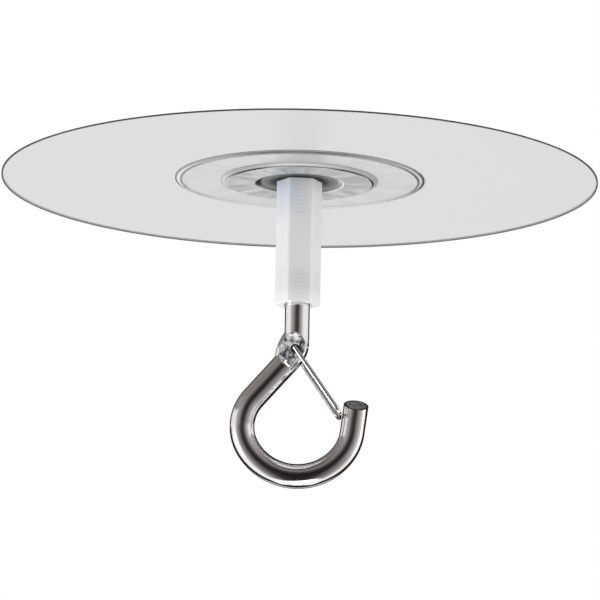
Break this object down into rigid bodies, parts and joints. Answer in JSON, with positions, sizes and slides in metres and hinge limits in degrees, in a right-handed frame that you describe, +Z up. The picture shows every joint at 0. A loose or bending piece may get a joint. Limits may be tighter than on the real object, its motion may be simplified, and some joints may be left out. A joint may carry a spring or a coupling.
{
  "type": "ceiling hook",
  "caption": "Clear self-adhesive ceiling disc with a pressed steel plate, a long hexagonal nylon spacer and a bent round-bar hook closed by a sprung wire gate.",
  "frame": {"origin": "centre of the adhesive face, on the ceiling plane", "axes": "+Z up into the ceiling, along the spacer and the hook's shank; +X the way the hook's mouth and tip point; +Y along the gate's hinge, away from the picture's camera"},
  "size_m": [0.12, 0.12, 0.0641],
  "materials": {
    "clear_gel": "clear soft gel",
    "clear_film": "clear glossy film",
    "plate_steel": "polished pressed steel",
    "stud_steel": "plated steel thread",
    "white_nylon": "translucent white nylon, smooth",
    "hook_chrome": "bright polished plating",
    "gate_wire": "bright drawn spring wire"
  },
  "bodies": {
    "mount": {"adhesive_pad": "clear_gel", "film_disc": "clear_film", "base_plate": "plate_steel", "threaded_stud": "stud_steel", "hex_spacer": "white_nylon", "hook": "hook_chrome"},
    "gate": {"gate": "gate_wire"}
  },
  "joints": [
    {"name": "gate_hinge", "type": "hinge", "parent": "mount", "child": "gate", "pos_m": [-0.0003, 0, -0.03565], "axis": [0, 1, 0], "range_deg": [0, 44], "stiffness_Nm_per_rad": 0.01, "springref_deg": -28.65}
  ]
}
